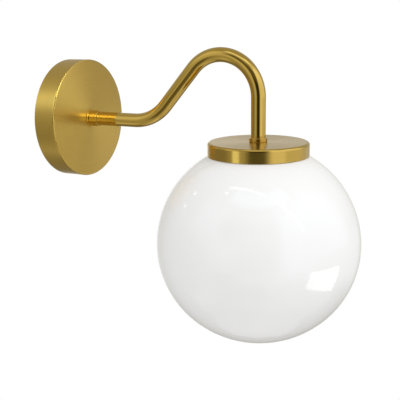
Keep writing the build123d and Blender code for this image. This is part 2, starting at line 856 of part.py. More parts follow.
with BuildPart() as bulb_insulator:
    with BuildSketch(globe_section):
        with BuildLine():
            Polyline(
                (0, eyelet_under),
                (base_insulator_diameter / 2, eyelet_under),
                (base_radius - base_thread_depth, base_top),
                (0, base_top),
                close=True,
            )
        make_face()
    revolve(axis=globe_line)
bulb_insulator.part.label = "bulb_insulator"
export_step(bulb_insulator.part, "parts/bulb_insulator.step")

with BuildPart() as bulb_base:
    # The rolled thread is drawn as rounded ridges, one to a turn
    with BuildSketch(globe_section):
        root_radius = base_radius - base_thread_depth
        with BuildLine():
            for turn in range(base_thread_turns):
                ridge_top = base_top - turn * base_thread_pitch
                ThreePointArc(
                    (root_radius, ridge_top),
                    (base_radius, ridge_top - base_thread_pitch / 2),
                    (root_radius, ridge_top - base_thread_pitch),
                )
            Polyline(
                (root_radius, thread_end),
                (base_radius, thread_end),
                (base_radius, base_rim),
                (root_radius - base_wall, base_rim),
                (root_radius - base_wall, base_top),
                (root_radius, base_top),
            )
        make_face()
    revolve(axis=globe_line)
bulb_base.part.label = "bulb_base"
export_step(bulb_base.part, "parts/bulb_base.step")

ball_radius = bulb_diameter / 2
ball_centre = eyelet_top - bulb_length + ball_radius
bulb_neck_radius = bulb_neck_diameter / 2
flare_height = sqrt(
    (ball_radius + bulb_flare_radius) ** 2 - (bulb_neck_radius + bulb_flare_radius) ** 2
)


def bulb_outline(inset):
    """Points of the bulb's half outline, a given depth inside its glass."""
    ball = ball_radius - inset
    flare = bulb_flare_radius + inset
    share = ball / (ball + flare)
    neck = (bulb_neck_radius - inset, ball_centre + flare_height)
    meeting = (
        share * (bulb_neck_radius + bulb_flare_radius),
        ball_centre + share * flare_height,
    )
    return neck, meeting, (0, ball_centre - ball), flare, ball


with BuildPart() as bulb_glass:
    with BuildSketch(globe_section):
        neck_out, meet_out, tip_out, flare_out, ball_out = bulb_outline(0)
        neck_in, meet_in, tip_in, flare_in, ball_in = bulb_outline(bulb_glass_wall)
        with BuildLine():
            Line((neck_out[0], base_rim), neck_out)
            RadiusArc(neck_out, meet_out, -flare_out)
            TangentArc(
                meet_out, tip_out, tangent=(meet_out[1] - ball_centre, -meet_out[0])
            )
            Line(tip_out, tip_in)
            TangentArc(
                meet_in,
                tip_in,
                tangent=(meet_in[1] - ball_centre, -meet_in[0]),
            )
            RadiusArc(neck_in, meet_in, -flare_in)
            Polyline(neck_in, (neck_in[0], base_rim), (neck_out[0], base_rim))
        make_face()
    revolve(axis=globe_line)
bulb_glass.part.label = "bulb_glass"
export_step(bulb_glass.part, "parts/bulb_glass.step")

stem_tip = base_rim - stem_length
stem_flare = bulb_neck_radius - bulb_glass_wall - thread_fit

with BuildPart() as bulb_stem:
    with BuildSketch(globe_section):
        with BuildLine():
            Polyline(
                (0, base_rim),
                (stem_flare, base_rim),
                (stem_flare, base_rim - bulb_glass_wall),
                (stem_diameter / 2, base_rim - stem_diameter / 2),
                (stem_diameter / 2 - bulb_glass_wall, stem_tip),
                (0, stem_tip),
                close=True,
            )
        make_face()
    revolve(axis=globe_line)
bulb_stem.part.label = "bulb_stem"
export_step(bulb_stem.part, "parts/bulb_stem.step")

filament_radius = filament_circle / 2
filament_top = stem_tip - filament_drop
filament_end = filament_top - filament_length

with BuildPart() as bulb_lead_wires:
    # A post down from the stem, with a cross of wires at each end of the filaments
    with BuildSketch(on_globe_axis(stem_tip)):
        Circle(lead_wire_diameter / 2)
    extrude(amount=filament_end - lead_wire_diameter - stem_tip)
    for level in (filament_top, filament_end - lead_wire_diameter):
        with BuildSketch(on_globe_axis(level)):
            for turn in range(filament_count // 2):
                Rectangle(
                    filament_circle + filament_diameter,
                    lead_wire_diameter,
                    rotation=turn * 360 / filament_count,
                )
        extrude(amount=lead_wire_diameter)
bulb_lead_wires.part.label = "bulb_lead_wires"
export_step(bulb_lead_wires.part, "parts/bulb_lead_wires.step")

with BuildPart() as bulb_filaments:
    with BuildSketch(on_globe_axis(filament_end)):
        with PolarLocations(filament_radius, filament_count):
            Circle(filament_diameter / 2)
    extrude(amount=filament_length)
bulb_filaments.part.label = "bulb_filaments"
export_step(bulb_filaments.part, "parts/bulb_filaments.step")
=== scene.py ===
import json
from math import cos, pi, radians, sin, tan, tau

import bmesh
import bpy
from mathutils import Matrix, Vector


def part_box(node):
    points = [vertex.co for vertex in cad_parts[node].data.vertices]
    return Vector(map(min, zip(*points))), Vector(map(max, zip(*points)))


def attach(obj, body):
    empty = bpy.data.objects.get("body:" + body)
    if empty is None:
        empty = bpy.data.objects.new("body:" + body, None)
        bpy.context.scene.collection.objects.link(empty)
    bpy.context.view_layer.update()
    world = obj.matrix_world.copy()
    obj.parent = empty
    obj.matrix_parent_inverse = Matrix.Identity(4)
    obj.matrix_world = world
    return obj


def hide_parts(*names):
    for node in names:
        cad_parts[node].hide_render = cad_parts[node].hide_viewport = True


# Globe wall sconce: a spun brass wall plate, a polished swan-neck arm and a spun cap that
# holds a white opal globe. Metres; the wall is y = 0, the lamp stands out towards -Y, and
# +Z is up.

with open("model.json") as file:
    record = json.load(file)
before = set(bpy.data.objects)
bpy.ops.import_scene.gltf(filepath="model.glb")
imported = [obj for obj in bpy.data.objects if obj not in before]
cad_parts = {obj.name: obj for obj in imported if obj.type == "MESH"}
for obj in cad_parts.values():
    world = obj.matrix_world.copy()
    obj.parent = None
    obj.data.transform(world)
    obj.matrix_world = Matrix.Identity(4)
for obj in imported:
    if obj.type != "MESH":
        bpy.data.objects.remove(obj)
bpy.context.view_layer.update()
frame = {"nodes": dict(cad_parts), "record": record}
nodes = frame["nodes"]

MM = 0.001


def middle(node):
    """The middle of a node's box."""
    low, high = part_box(node)
    return (low + high) / 2


def span(node):
    """The lengths of a node's box along X, Y and Z."""
    low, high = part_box(node)
    return high - low


globe_middle = middle("globe")


# ---------------------------------------------------------------- camera

# Fitted to the outlines of the plate, the arm, the cap and the globe
camera_azimuth = radians(-61.99)
camera_elevation = radians(13.2)
camera_roll = radians(-0.82)
camera_distance = 0.7609
camera_target = Vector((0, -0.1560, -0.0776))

# The directions right, up and back as the level camera sees them, used for the lamps too
back = Vector((
    cos(camera_elevation) * sin(camera_azimuth),
    -cos(camera_elevation) * cos(camera_azimuth),
    sin(camera_elevation),
))
right = Vector((0, 0, 1)).cross(back).normalized()
up = back.cross(right)

rolled_right = cos(camera_roll) * right + sin(camera_roll) * up
rolled_up = cos(camera_roll) * up - sin(camera_roll) * right
camera_data = bpy.data.cameras.new("camera")
camera_data.lens = 67.5
camera_data.sensor_width = 36.0
camera = bpy.data.objects.new("camera", camera_data)
bpy.context.scene.collection.objects.link(camera)
camera.matrix_world = Matrix.Translation(camera_target + camera_distance * back) @ Matrix(
    (rolled_right, rolled_up, back)
).transposed().to_4x4()
bpy.context.scene.camera = camera
bpy.context.scene.view_settings.view_transform = "Standard"


# ---------------------------------------------------------------- materials

def linear(colour):
    """The linear values of an sRGB colour written as hex."""
    shares = [int(colour[i : i + 2], 16) / 255 for i in (1, 3, 5)]
    values = [s / 12.92 if s <= 0.04045 else ((s + 0.055) / 1.055) ** 2.4 for s in shares]
    return (*values, 1.0)


def add(tree, kind, inputs=None, **settings):
    """Add a node, set it up, and feed its inputs with values or with other nodes' outputs."""
    made = tree.nodes.new(kind)
    for name, value in settings.items():
        setattr(made, name, value)
    for name, value in (inputs or {}).items():
        if isinstance(value, bpy.types.NodeSocket):
            tree.links.new(value, made.inputs[name])
        else:
            made.inputs[name].default_value = value
    return made


def start_material(name):
    """A new material with an empty tree, and the place on the piece that its patterns read."""
    made = bpy.data.materials.new(name)
    made.use_nodes = True
    tree = made.node_tree
    tree.nodes.clear()
    place = add(tree, "ShaderNodeTexCoord").outputs["Object"]
    return made, tree, place


def end_material(tree, shader_inputs):
    """Close a material with its one shader."""
    shader = add(tree, "ShaderNodeBsdfPrincipled", shader_inputs)
    add(tree, "ShaderNodeOutputMaterial", {"Surface": shader.outputs["BSDF"]})


def grained(name, light, dark, roughness, patch, grain, depth, **shader_inputs):
    """A finish with patches of two near tones and two roughnesses, and a fine grain.

    patch and grain are the sizes of the two patterns and depth the grain's, in mm.
    """
    made, tree, place = start_material(name)
    patches = add(
        tree,
        "ShaderNodeTexNoise",
        {"Vector": place, "Scale": 1 / (patch * MM), "Detail": 3.0},
    ).outputs["Fac"]
    fine = add(
        tree,
        "ShaderNodeTexNoise",
        {"Vector": place, "Scale": 1 / (grain * MM), "Detail": 2.0},
    ).outputs["Fac"]
    tone = add(
        tree,
        "ShaderNodeMixRGB",
        {"Fac": patches, "Color1": linear(light), "Color2": linear(dark)},
    )
    dulled = add(
        tree,
        "ShaderNodeMapRange",
        {
            "Value": patches,
            "From Min": 0.3,
            "From Max": 0.7,
            "To Min": roughness[0],
            "To Max": roughness[1],
        },
    )
    bump = add(
        tree,
        "ShaderNodeBump",
        {"Height": fine, "Strength": 1.0, "Distance": depth * MM},
    )
    inputs = {
        "Base Color": tone.outputs["Color"],
        "Roughness": dulled.outputs["Result"],
        "Normal": bump.outputs["Normal"],
    }
    inputs.update({key.replace("_", " "): value for key, value in shader_inputs.items()})
    end_material(tree, inputs)
    return made


# The brass that shows, before its lacquer, and how strongly the lacquer mirrors
brass_light = "#CDAB50"
brass_dark = "#C4A248"
lacquer = 0.4


def from_spindle(tree, place, node, outward):
    """How far a place is from the axis that a node was spun on.

    It gives a vector, a radius, and a height along the axis in the outward direction.
    """
    across = Vector((1, 1, 1)) - Vector([abs(part) for part in outward])
    offset = add(
        tree, "ShaderNodeVectorMath", {0: place, 1: middle(node) * across}, operation="SUBTRACT"
    ).outputs["Vector"]
    sideways = add(tree, "ShaderNodeVectorMath", {0: offset, 1: across}, operation="MULTIPLY")
    radius = add(
        tree, "ShaderNodeVectorMath", {0: sideways.outputs["Vector"]}, operation="LENGTH"
    ).outputs["Value"]
    height = add(
        tree, "ShaderNodeVectorMath", {0: offset, 1: outward}, operation="DOT_PRODUCT"
    ).outputs["Value"]
    return offset, radius, height


def spun_brass(name, node, outward, roughness, crown, burnish):
    """Sheet brass spun on a lathe, under clear lacquer.

    The eye sees fine rings round the axis, which stretch each reflection into a fan that
    points at the middle, and a burnished front corner that draws a thin bright line.
    crown is how far the middle of the face stands out and burnish how far in from the
    corner the bright line reaches, in mm.
    """
    # The tool's marks are 0.1 mm apart on the real sheet, drawn coarser so that they show
    ring_spacing = 0.7 * MM
    ring_depth = 0.005 * MM
    # How much of the real place lets each ring fade and come back on its way round
    drift = 0.012
    handling_size = 26 * MM
    handling_dulls = 0.05
    burnished_roughness = 0.12

    made, tree, place = start_material(name)
    offset, radius, height = from_spindle(tree, place, node, outward)
    ring_place = add(tree, "ShaderNodeCombineXYZ", {"X": radius, "Y": height})
    wandering = add(
        tree,
        "ShaderNodeVectorMath",
        {0: offset, 1: (drift, drift, drift), 2: ring_place.outputs["Vector"]},
        operation="MULTIPLY_ADD",
    )
    rings = add(
        tree,
        "ShaderNodeTexNoise",
        {"Vector": wandering.outputs["Vector"], "Scale": 1 / ring_spacing, "Detail": 3.0},
    ).outputs["Fac"]
    handling = add(
        tree,
        "ShaderNodeTexNoise",
        {"Vector": place, "Scale": 1 / handling_size, "Detail": 2.0},
    ).outputs["Fac"]
    tone = add(
        tree,
        "ShaderNodeMixRGB",
        {"Fac": rings, "Color1": linear(brass_light), "Color2": linear(brass_dark)},
    )
    ring_dull = add(
        tree,
        "ShaderNodeMapRange",
        {
            "Value": rings,
            "From Min": 0.3,
            "From Max": 0.7,
            "To Min": roughness - 0.04,
            "To Max": roughness + 0.02,
        },
    )
    dulled = add(
        tree,
        "ShaderNodeMath",
        {0: handling, 1: handling_dulls, 2: ring_dull.outputs["Result"]},
        operation="MULTIPLY_ADD",
    )
    # Radius and height add up to the most at the corner, and to less all round it
    front = max(corner.dot(outward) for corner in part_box(node)) - crown * MM
    corner = span(node).x / 2 + front
    outwards = add(tree, "ShaderNodeMath", {0: radius, 1: height}, operation="ADD")
    burnished = add(
        tree,
        "ShaderNodeMapRange",
        {
            "Value": outwards.outputs["Value"],
            "From Min": corner - 1.1 * burnish * MM,
            "From Max": corner - 0.9 * burnish * MM,
        },
    )
    shine = add(
        tree,
        "ShaderNodeMix",
        {0: burnished.outputs["Result"], 2: dulled.outputs["Value"], 3: burnished_roughness},
        data_type="FLOAT",
    )
    bump = add(
        tree,
        "ShaderNodeBump",
        {"Height": rings, "Strength": 1.0, "Distance": ring_depth},
    )
    turning = add(
        tree, "ShaderNodeTangent", direction_type="RADIAL", axis="Y" if outward.y else "Z"
    )
    end_material(
        tree,
        {
            "Base Color": tone.outputs["Color"],
            "Metallic": 1.0,
            "Roughness": shine.outputs[0],
            "Anisotropic": 0.8,
            "Anisotropic Rotation": 0.25,
            "Tangent": turning.outputs["Tangent"],
            "Normal": bump.outputs["Normal"],
            "Coat Weight": lacquer,
            "Coat Roughness": roughness,
        },
    )
    return made


def sleeve(name, first, second, halves):
    """Soft PVC drawn over a conductor: smooth, half glossy, a little wavy along its length.

    The two colours lie on the two sides of X = 0, or else in two stripes round the sleeve.
    """
    stripe_gap = 0.62  # of each half turn, in the first colour
    made, tree, place = start_material(name)
    if halves:
        sides = add(tree, "ShaderNodeSeparateXYZ", {"Vector": place})
        side = add(
            tree, "ShaderNodeMath", {0: sides.outputs["X"], 1: 0.0}, operation="GREATER_THAN"
        )
    else:
        around = add(tree, "ShaderNodeAttribute", attribute_name="around").outputs["Fac"]
        twice = add(tree, "ShaderNodeMath", {0: around, 1: 2.0}, operation="MULTIPLY")
        stripe = add(tree, "ShaderNodeMath", {0: twice.outputs["Value"]}, operation="FRACT")
        side = add(
            tree,
            "ShaderNodeMath",
            {0: stripe.outputs["Value"], 1: stripe_gap},
            operation="GREATER_THAN",
        )
    tone = add(
        tree,
        "ShaderNodeMixRGB",
        {"Fac": side.outputs["Value"], "Color1": linear(first), "Color2": linear(second)},
    )
    waves = add(
        tree,
        "ShaderNodeTexNoise",
        {"Vector": place, "Scale": 1 / (2.5 * MM), "Detail": 1.0},
    ).outputs["Fac"]
    dulled = add(
        tree,
        "ShaderNodeMapRange",
        {"Value": waves, "From Min": 0.3, "From Max": 0.7, "To Min": 0.28, "To Max": 0.42},
    )
    bump = add(tree, "ShaderNodeBump", {"Height": waves, "Strength": 1.0, "Distance": 0.03 * MM})
    end_material(
        tree,
        {
            "Base Color": tone.outputs["Color"],
            "Roughness": dulled.outputs["Result"],
            "IOR": 1.53,
            "Normal": bump.outputs["Normal"],
        },
    )
    return made


off_wall = Vector((0, -1, 0))
upright = Vector((0, 0, 1))
finishes = {
    # Satin face: soft fans of light that point at the collar
    "wall_plate": spun_brass(
        "satin_spun_brass", "wall_plate", off_wall, roughness=0.33, crown=2.5, burnish=1.7
    ),
    # Brighter, with a broad burnished corner that mirrors the room
    "globe_cap": spun_brass(
        "bright_spun_brass", "globe_cap", upright, roughness=0.2, crown=0.0, burnish=2.5
    ),
    # Drawn tube, buffed to a mirror and lacquered: soft smears from the cloth
    "polished_brass": grained(
        "buffed_brass",
        brass_light,
        brass_dark,
        (0.06, 0.1),
        14,
        6,
        0.0005,
        Metallic=1.0,
        Coat_Weight=lacquer,
        Coat_Roughness=0.05,
    ),
    # Turned and left bare: yellower, with fine tool marks and a dull bloom
    "plain_brass": grained(
        "turned_brass", "#C9AE68", "#A98D4C", (0.24, 0.38), 4, 0.5, 0.004, Metallic=1.0
    ),
    # Pressed steel, zinc plated: cool grey with a cloudy spangle
    "zinc_steel": grained(
        "zinc_plated_steel", "#B9BCBF", "#9DA1A5", (0.3, 0.46), 3, 0.6, 0.006, Metallic=1.0
    ),
    # Opal glass, mouth blown and fire polished: milk white with a wet gloss and slow waves
    "opal_glass": grained(
        "opal_glass", "#F9F9F8", "#F6F6F5", (0.07, 0.1), 60, 45, 0.12, IOR=1.5
    ),
    # Silicone washer: translucent white, matt
    "gasket_rubber": grained(
        "silicone_rubber", "#E6E4DE", "#D8D6CF", (0.55, 0.7), 6, 0.8, 0.01, IOR=1.41
    ),
    # Phenolic moulding: near black, half matt, with flow marks
    "black_phenolic": grained(
        "black_phenolic", "#34302E", "#272423", (0.34, 0.46), 8, 0.7, 0.012, IOR=1.6
    ),
    # Steatite porcelain under a clear glaze: warm white with small sharp highlights
    "porcelain": grained(
        "glazed_porcelain", "#EFEDE6", "#E4E1D8", (0.1, 0.18), 7, 1.5, 0.01, IOR=1.54
    ),
    # Nickel on brass, barrel plated: warm grey with a soft gloss
    "nickel_plate": grained(
        "nickel_plate", "#DAD5CC", "#C9C3B9", (0.16, 0.26), 5, 0.6, 0.003, Metallic=1.0
    ),
    # Polyamide moulding: off white, half matt, with a faint texture from the mould
    "white_polyamide": grained(
        "white_polyamide", "#E9E7E0", "#DEDBD2", (0.42, 0.55), 5, 0.5, 0.02, IOR=1.53
    ),
    # PVC flex: white, smooth, a little greasy to the eye
    "white_sheath": grained(
        "white_pvc_sheath", "#E8E8E4", "#DEDDD8", (0.36, 0.48), 6, 1.5, 0.03, IOR=1.53
    ),
    "core_sleeves": sleeve("brown_and_blue_pvc", "#6B3F22", "#2C5FA8", halves=True),
    "earth_sleeve": sleeve("green_and_yellow_pvc", "#2E8B3C", "#E2C62A", halves=False),
    # Tinned copper: bright grey with soft dull drifts where the solder ran
    "tin": grained("solder_tin", "#C9C9C6", "#B1B1AE", (0.25, 0.4), 2, 0.4, 0.01, Metallic=1.0),
    # Clear soda glass of the bulb: crisp reflections and a slow wave
    "clear_glass": grained(
        "clear_glass",
        "#FBFCFC",
        "#F8FAFA",
        (0.01, 0.03),
        30,
        20,
        0.02,
        IOR=1.5,
        Transmission_Weight=1.0,
    ),
    # Black glass fused into the base: deep black, glossy
    "black_glass": grained(
        "fused_black_glass", "#1C1C1E", "#141416", (0.08, 0.2), 3, 0.8, 0.01, IOR=1.52
    ),
    # Drawn nickel-iron wire: warm grey with a silky shine
    "lead_wire": grained(
        "drawn_wire", "#B5B2AC", "#9C9892", (0.25, 0.35), 2, 0.3, 0.002, Metallic=1.0
    ),
    # Phosphor in silicone on each filament: mustard yellow, matt and slightly grainy
    "phosphor": grained(
        "phosphor_coat", "#EBC04A", "#DCAE38", (0.5, 0.65), 1.5, 0.3, 0.02, IOR=1.41
    ),
}

for part in frame["record"]["subparts"]:
    node, slot = part["node"], part["material_slot"]
    dressed = nodes[node]
    dressed.data.materials.clear()
    dressed.data.materials.append(finishes.get(node) or finishes[slot])


# ---------------------------------------------------------------- threads, nuts and lead

def tree_of_nodes(name, sizes):
    """A new Geometry Nodes tree with an input for the finish and one for each size."""
    made = bpy.data.node_groups.new(name, "GeometryNodeTree")
    made.interface.new_socket("Shape", in_out="INPUT", socket_type="NodeSocketGeometry")
    made.interface.new_socket("Finish", in_out="INPUT", socket_type="NodeSocketMaterial")
    for size in sizes:
        made.interface.new_socket(size, in_out="INPUT", socket_type="NodeSocketFloat")
    made.interface.new_socket("Piece", in_out="OUTPUT", socket_type="NodeSocketGeometry")
    given = made.nodes.new("NodeGroupInput")
    return made, given.outputs


def end_tree(tree, shape, finish):
    """Close a Geometry Nodes tree: one real mesh in its finish."""
    real = add(tree, "GeometryNodeRealizeInstances", {"Geometry": shape})
    dressed = add(
        tree, "GeometryNodeSetMaterial", {"Geometry": real.outputs["Geometry"], "Material": finish}
    )
    add(tree, "NodeGroupOutput", {"Piece": dressed.outputs["Geometry"]})


def grow(blank_data, tree, finish, sizes):
    """The plain mesh that a tree makes from a blank."""
    blank = bpy.data.objects.new("blank", blank_data)
    bpy.context.scene.collection.objects.link(blank)
    modifier = blank.modifiers.new(tree.name, "NODES")
    modifier.node_group = tree
    for socket in tree.interface.items_tree:
        if socket.name == "Finish":
            modifier[socket.identifier] = finish
        elif socket.name in sizes:
            modifier[socket.identifier] = sizes[socket.name]
    ready = bpy.context.evaluated_depsgraph_get()
    grown = bpy.data.meshes.new_from_object(
        blank.evaluated_get(ready), preserve_all_data_layers=True, depsgraph=ready
    )
    bpy.data.objects.remove(blank)
    return grown


def stand_for(node, mesh):
    """Put a finished mesh in the place of a node, on the body that the node rides."""
    piece = bpy.data.objects.new(f"{node}_detailed", mesh)
    bpy.context.scene.collection.objects.link(piece)
    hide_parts(node)
    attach(piece, "fixture")


def turned(rings, corners, closed):
    """A mesh turned about Z from rings of height and radius.

    A radius may depend on the angle. The rings close on themselves, or have a flat face at
    each end.
    """
    shape = bmesh.new()
    loops = []
    for height, radius in rings:
        loop = []
        for step in range(corners):
            angle = tau * step / corners
            reach = radius(angle) if callable(radius) else radius
            loop.append(shape.verts.new((reach * cos(angle), reach * sin(angle), height)))
        loops.append(loop)
    pairs = list(zip(loops, loops[1:]))
    if closed:
        pairs.append((loops[-1], loops[0]))
    else:
        shape.faces.new(loops[0])
        shape.faces.new(loops[-1])
    for lower, upper in pairs:
        for step in range(corners):
            after = (step + 1) % corners
            shape.faces.new((lower[step], lower[after], upper[after], upper[step]))
    bmesh.ops.recalc_face_normals(shape, faces=shape.faces)
    mesh = bpy.data.meshes.new("turned")
    shape.to_mesh(mesh)
    shape.free()
    return mesh


def hexagon(across_flats):
    """The radius of a hexagon at each angle, with a corner at angle 0."""
    return lambda angle: across_flats / 2 / cos((angle % radians(60)) - radians(30))


def thread_rings(start, end, radius, pitch):
    """Rings close enough to cut a thread on."""
    rings_to_a_pitch = 8
    count = round((end - start) / pitch * rings_to_a_pitch)
    return [(start + (end - start) * step / count, radius) for step in range(count + 1)]


# A thread: every point of the blank's outside sinks by how far it is round and along. A
# hair's breadth tells the outside from the bore and the chamfers.
hair = 0.01 * MM
cut_thread, given = tree_of_nodes("cut_thread", ("Outer Radius", "Pitch", "Depth"))
place = add(cut_thread, "GeometryNodeInputPosition").outputs["Position"]
parts = add(cut_thread, "ShaderNodeSeparateXYZ", {"Vector": place}).outputs
outwards = add(cut_thread, "ShaderNodeCombineXYZ", {"X": parts["X"], "Y": parts["Y"]})
radius = add(
    cut_thread, "ShaderNodeVectorMath", {0: outwards.outputs["Vector"]}, operation="LENGTH"
).outputs["Value"]
outside = add(
    cut_thread, "ShaderNodeMath", {0: given["Outer Radius"], 1: hair}, operation="SUBTRACT"
)
on_thread = add(
    cut_thread,
    "ShaderNodeMath",
    {0: radius, 1: outside.outputs["Value"]},
    operation="GREATER_THAN",
)
angle = add(cut_thread, "ShaderNodeMath", {0: parts["Y"], 1: parts["X"]}, operation="ARCTAN2")
turns_along = add(
    cut_thread, "ShaderNodeMath", {0: parts["Z"], 1: given["Pitch"]}, operation="DIVIDE"
)
turns = add(
    cut_thread,
    "ShaderNodeMath",
    {0: angle.outputs["Value"], 1: -1 / tau, 2: turns_along.outputs["Value"]},
    operation="MULTIPLY_ADD",
)
in_turn = add(cut_thread, "ShaderNodeMath", {0: turns.outputs["Value"]}, operation="FRACT")
flank = add(
    cut_thread, "ShaderNodeMath", {0: in_turn.outputs["Value"], 1: 0.5}, operation="PINGPONG"
)
sunk = add(
    cut_thread,
    "ShaderNodeMath",
    {0: flank.outputs["Value"], 1: given["Depth"]},
    operation="MULTIPLY",
)
inwards = add(
    cut_thread, "ShaderNodeMath", {0: sunk.outputs["Value"], 1: -2.0}, operation="MULTIPLY"
)
unit = add(
    cut_thread, "ShaderNodeVectorMath", {0: outwards.outputs["Vector"]}, operation="NORMALIZE"
)
moved = add(
    cut_thread,
    "ShaderNodeVectorMath",
    {0: unit.outputs["Vector"], "Scale": inwards.outputs["Value"]},
    operation="SCALE",
)
threaded = add(
    cut_thread,
    "GeometryNodeSetPosition",
    {
        "Geometry": given["Shape"],
        "Selection": on_thread.outputs["Value"],
        "Offset": moved.outputs["Vector"],
    },
)
end_tree(cut_thread, threaded.outputs["Geometry"], given["Finish"])

# The two hollow nipples, M10 x 1 with chamfered ends
nipple_pitch, nipple_depth = 1.0 * MM, 0.55 * MM
bore, chamfer = 4.0 * MM, 0.5 * MM
for node, axis in (("arm_nipple", 1), ("holder_nipple", 2)):
    end = span(node)[axis] / 2
    outer = span(node).x / 2
    rings = [(-end, bore), (-end, outer - chamfer)]
    rings += thread_rings(chamfer - end, end - chamfer, outer, nipple_pitch)
    rings += [(end, outer - chamfer), (end, bore)]
    thread = {"Outer Radius": outer, "Pitch": nipple_pitch, "Depth": nipple_depth}
    blank = turned(rings, corners=40, closed=True)
    mesh = grow(blank, cut_thread, nodes[node].data.materials[0], thread)
    if axis == 1:
        mesh.transform(Matrix.Rotation(pi / 2, 4, "X"))
    mesh.transform(Matrix.Translation(middle(node)))
    stand_for(node, mesh)

# The two grub screws, M4 x 8, with chamfered ends and a hexagon socket
screw_length, screw_radius = 8.0 * MM, span("side_screws").x / 2
screw_pitch, screw_depth = 0.7 * MM, 0.38 * MM
point_radius, point_chamfer, head_chamfer = 0.4 * MM, 0.6 * MM, 0.4 * MM
socket, socket_depth = hexagon(2.0 * MM), 2.0 * MM
rings = [(0, point_radius), (0, screw_radius - point_chamfer)]
rings += thread_rings(point_chamfer, screw_length - head_chamfer, screw_radius, screw_pitch)
rings += [(screw_length, screw_radius - head_chamfer), (screw_length, socket)]
rings += [(screw_length - socket_depth, socket)]
thread = {"Outer Radius": screw_radius, "Pitch": screw_pitch, "Depth": screw_depth}
screw_finish = nodes["side_screws"].data.materials[0]
screw_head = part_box("side_screws")[1].z
both_screws = bmesh.new()
for side in (1, -1):
    mesh = grow(turned(rings, corners=36, closed=False), cut_thread, screw_finish, thread)
    if side == -1:
        mesh.transform(Matrix.Rotation(pi, 4, "X"))
    inner_end = side * (screw_head - screw_length)
    mesh.transform(Matrix.Translation((0, middle("side_screws").y, inner_end)))
    both_screws.from_mesh(mesh)
mesh = bpy.data.meshes.new("side_screws")
both_screws.to_mesh(mesh)
both_screws.free()
mesh.materials.append(screw_finish)
stand_for("side_screws", mesh)

# The two hexagon nuts: a cone at 30 degrees takes the corners off both faces. It starts
# just inside the flats, and rings at these heights in mm follow it until it leaves them.
nut_bore, nut_mouth = 5.05 * MM, 5.6 * MM
cone_foot = 0.475  # its radius on the face, as a share of the size across flats
cone_heights = (0, 0.2, 0.4, 0.6, 0.85)
for node, axis in (("plate_nut", 1), ("cap_nut", 2)):
    thickness = span(node)[axis]
    across_flats = span(node)[3 - axis]
    plain = hexagon(across_flats)
    rings = [(0, nut_bore), (0, nut_mouth)]
    for height in cone_heights:
        cone = cone_foot * across_flats + height * MM * tan(radians(60))
        rings.append((height * MM, lambda angle, cone=cone: min(cone, plain(angle))))
    rings += [(thickness - height, radius) for height, radius in rings[::-1]]
    mesh = turned(rings, corners=72, closed=True)
    mesh.materials.append(nodes[node].data.materials[0])
    if axis == 1:
        mesh.transform(Matrix.Rotation(pi / 2, 4, "X"))
        mesh.transform(Matrix.Translation((0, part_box(node)[1].y, 0)))
    else:
        mesh.transform(Matrix.Translation((0, middle(node).y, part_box(node)[0].z)))
    stand_for(node, mesh)

# The earth lead: a round section swept along its route, that keeps how far round it each
# point is, for the two colours of its sleeve
swept_lead, given = tree_of_nodes("swept_lead", ("Radius",))
section = add(
    swept_lead, "GeometryNodeCurvePrimitiveCircle", {"Resolution": 20, "Radius": given["Radius"]}
)
how_far = add(swept_lead, "GeometryNodeSplineParameter")
marked = add(
    swept_lead,
    "GeometryNodeStoreNamedAttribute",
    {"Geometry": section.outputs["Curve"], "Name": "around", "Value": how_far.outputs["Factor"]},
    data_type="FLOAT",
    domain="POINT",
)
swept = add(
    swept_lead,
    "GeometryNodeCurveToMesh",
    {"Curve": given["Shape"], "Profile Curve": marked.outputs["Geometry"], "Fill Caps": True},
)
end_tree(swept_lead, swept.outputs["Mesh"], given["Finish"])
# From the terminal block down, out beside the bracket, and up to the tag, in mm
stops = [
    (0, -7.6, -20.5),
    (0, -7.6, -31),
    (9, -7.6, -31),
    (18, -7.6, -31),
    (18, -5.6, -10),
    (18, -3.2, 16),
    (6.4, -3.2, 16),
]
lead_radius = 1.1 * MM
route = bpy.data.curves.new("earth_lead_route", "CURVE")
route.dimensions = "3D"
line = route.splines.new("NURBS")
line.points.add(len(stops) - 1)
for point, stop in zip(line.points, stops):
    point.co = (*(MM * part for part in stop), 1)
line.order_u = 3
line.use_endpoint_u = True
line.resolution_u = 16
lead = grow(route, swept_lead, nodes["earth_lead"].data.materials[0], {"Radius": lead_radius})
for face in lead.polygons:
    face.use_smooth = len(face.vertices) == 4
stand_for("earth_lead", lead)


# ---------------------------------------------------------------- floor, lamps and world

def lit_only(name, *pieces):
    """A group of nodes, for a lamp that only they mirror."""
    group = bpy.data.collections.new(name)
    for piece in pieces:
        group.objects.link(nodes[piece])
    return group


def lamp(name, place, width, height, radiance, long_way, only_in=None, colour="#FFFFFF"):
    """A flat lamp that faces the globe, with its width along a given direction.

    It lights matt surfaces or, with only_in, is seen only in the gloss of that group.
    """
    light = bpy.data.lights.new(name, "AREA")
    light.shape = "RECTANGLE"
    light.size = width
    light.size_y = height
    light.energy = radiance * pi * width * height
    light.color = linear(colour)[:3]
    hung = bpy.data.objects.new(name, light)
    bpy.context.scene.collection.objects.link(hung)
    away = (place - globe_middle).normalized()
    level = (long_way - long_way.dot(away) * away).normalized()
    hung.matrix_world = Matrix.Translation(place) @ Matrix(
        (level, away.cross(level), away)
    ).transposed().to_4x4()
    hung.visible_camera = False
    hung.visible_transmission = False
    hung.visible_glossy = only_in is not None
    hung.visible_diffuse = only_in is None
    if only_in:
        hung.light_linking.receiver_collection = only_in


in_glass = lit_only("in_glass", "globe")
at_plate = lit_only("at_plate", "wall_plate", "arm_collar")
in_cap = lit_only("in_cap", "globe_cap")

